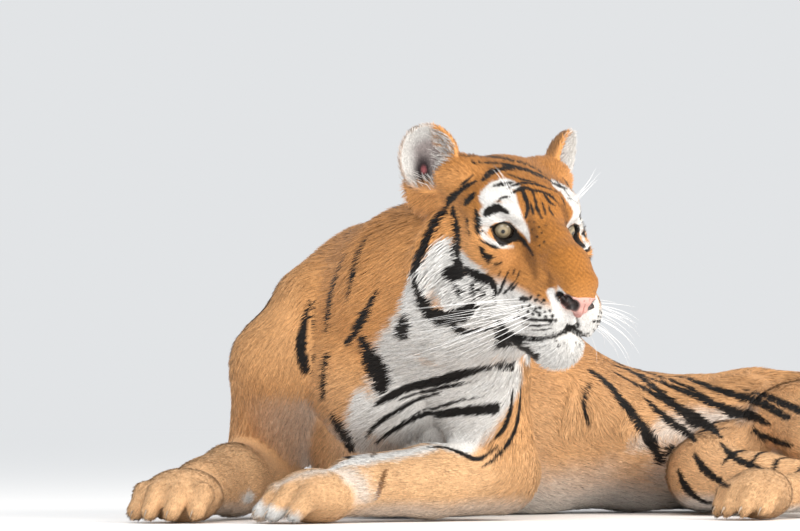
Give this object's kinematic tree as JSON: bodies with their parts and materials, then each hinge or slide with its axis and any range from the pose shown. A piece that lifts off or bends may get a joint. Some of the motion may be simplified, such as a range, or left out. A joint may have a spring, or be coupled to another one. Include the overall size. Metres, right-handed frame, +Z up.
{
  "type": "siberian tiger",
  "caption": "Life-size still figure of an adult tigress lying on its chest, head raised and turned to its left, hips rolled over, hind legs and tail laid out beside it.",
  "frame": {"origin": "on the floor, in the middle of the chest's resting face", "axes": "+Z up, -Y the way the chest and forelegs face, +X the animal's left"},
  "size_m": [1.2979, 1.1627, 0.5637],
  "materials": {
    "coat": "short orange fur with near-black stripes, cream below",
    "face_coat": "orange and cream fur with near-black marks, longer at the cheeks",
    "ear_coat": "short fur, black with a white spot behind, pale and thin inside",
    "paw_coat": "short pale orange fur",
    "eye": "wet, grey-green iris with a small round pupil"
  },
  "bodies": {
    "root": {"head": "face_coat", "left_ear": "ear_coat", "right_ear": "ear_coat", "left_eye": "eye", "right_eye": "eye", "neck": "coat", "chest": "coat", "abdomen": "coat", "pelvis": "coat", "left_upper_arm": "coat", "left_forearm": "coat", "left_forepaw": "paw_coat", "right_upper_arm": "coat", "right_forearm": "coat", "right_forepaw": "paw_coat", "left_thigh": "coat", "left_shank": "coat", "left_hindpaw": "paw_coat", "right_thigh": "coat", "right_shank": "coat", "right_hindpaw": "paw_coat", "tail_base": "coat", "tail_middle": "coat", "tail_tip": "coat"}
  },
  "joints": []
}
